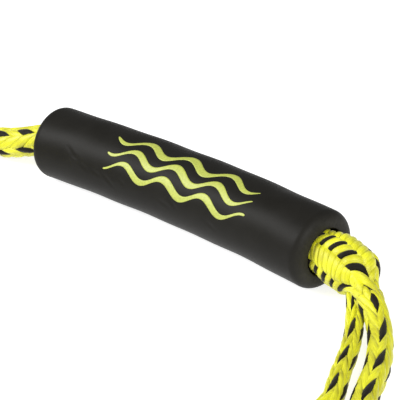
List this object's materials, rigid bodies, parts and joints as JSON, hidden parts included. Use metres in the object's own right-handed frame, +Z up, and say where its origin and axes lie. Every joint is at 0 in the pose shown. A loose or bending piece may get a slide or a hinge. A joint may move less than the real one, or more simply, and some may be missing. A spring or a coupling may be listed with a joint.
{
  "type": "tow rope handle",
  "caption": "Foam grip on a braided tow line, with a spliced tow eye at one end and a coiled lead ending in a smaller eye.",
  "frame": {"origin": "on the surface that the handle lies on, under the middle of the foam grip's box", "axes": "+Z up from that surface, +X along the grip from the coiled lead towards the tow eye"},
  "size_m": [0.5836, 0.1969, 0.0495],
  "materials": {
    "foam": "closed-cell foam with a smooth moulded skin, matte with a soft broad sheen",
    "rope": "braided polyethylene multifilament, fluorescent yellow with black tracer strands, slightly waxy",
    "print": "thin lime screen print",
    "strap": "black woven storage strap"
  },
  "bodies": {
    "line": {"line_in_grip": "rope", "buried_tail": "rope", "splice_throat": "rope", "lead_splice": "rope", "lead_line": "rope", "lead_coil": "rope", "end_run": "rope", "end_throat": "rope", "end_eye": "rope", "coil_tie_a": "strap", "coil_tie_b": "strap"},
    "grip": {"foam_grip": "foam"},
    "tow_eye": {"tow_loop": "rope"}
  },
  "joints": [
    {"name": "grip_turn", "type": "hinge", "parent": "line", "child": "grip", "pos_m": [0, -0.00373, 0.0245], "axis": [1, 0, 0], "range_deg": [-30, 30]},
    {"name": "eye_swing", "type": "hinge", "parent": "line", "child": "tow_eye", "pos_m": [0.148, -0.0097, 0.0213], "axis": [0, 0, 1], "range_deg": [-25, 25]}
  ]
}
